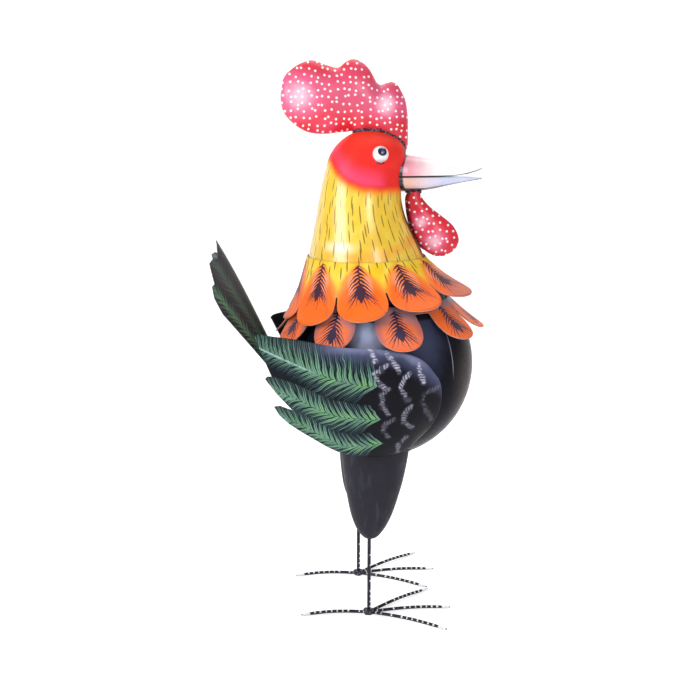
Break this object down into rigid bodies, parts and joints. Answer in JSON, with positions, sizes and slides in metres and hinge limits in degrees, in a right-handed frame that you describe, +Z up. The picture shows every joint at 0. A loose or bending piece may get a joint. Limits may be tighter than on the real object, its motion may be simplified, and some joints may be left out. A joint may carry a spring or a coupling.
{
  "type": "rooster figure",
  "caption": "Standing rooster figure in painted sheet metal, with a ball body, bell neck, feather collars, domed wings, fan tail and wire feet.",
  "frame": {"origin": "middle of the bottom of the bounding box, on the surface the feet stand on", "axes": "+Z up, +X forward along the beak, +Y to the rooster's left"},
  "size_m": [0.2932, 0.242, 0.6],
  "materials": {
    "body_black": "gloss enamel, near black with a blue-grey sheen",
    "neck_yellow": "gloss enamel, red face over a yellow neck with brown strokes",
    "comb_red": "gloss enamel with white dots",
    "beak_ivory": "gloss enamel, pale with black edges",
    "eye_white": "gloss enamel",
    "petal_orange": "gloss enamel with dark plumes",
    "wing_green": "gloss enamel, painted feathers",
    "tail_green": "gloss enamel, painted feathers",
    "thigh_charcoal": "satin enamel",
    "wire_black": "satin enamel with white bands"
  },
  "bodies": {
    "root": {"body": "body_black", "neck_and_head": "neck_yellow", "comb": "comb_red", "beak_upper": "beak_ivory", "beak_lower": "beak_ivory", "upper_feather_collar": "petal_orange", "lower_feather_collar": "petal_orange", "tail": "tail_green", "wattle_left": "comb_red", "eye_left": "eye_white", "wing_left": "wing_green", "thigh_left": "thigh_charcoal", "leg_rod_left": "wire_black", "ankle_left": "wire_black", "inner_toe_left": "wire_black", "middle_toe_left": "wire_black", "outer_toe_left": "wire_black", "back_toe_left": "wire_black", "wattle_right": "comb_red", "eye_right": "eye_white", "wing_right": "wing_green", "thigh_right": "thigh_charcoal", "leg_rod_right": "wire_black", "ankle_right": "wire_black", "inner_toe_right": "wire_black", "middle_toe_right": "wire_black", "outer_toe_right": "wire_black", "back_toe_right": "wire_black"}
  },
  "joints": []
}
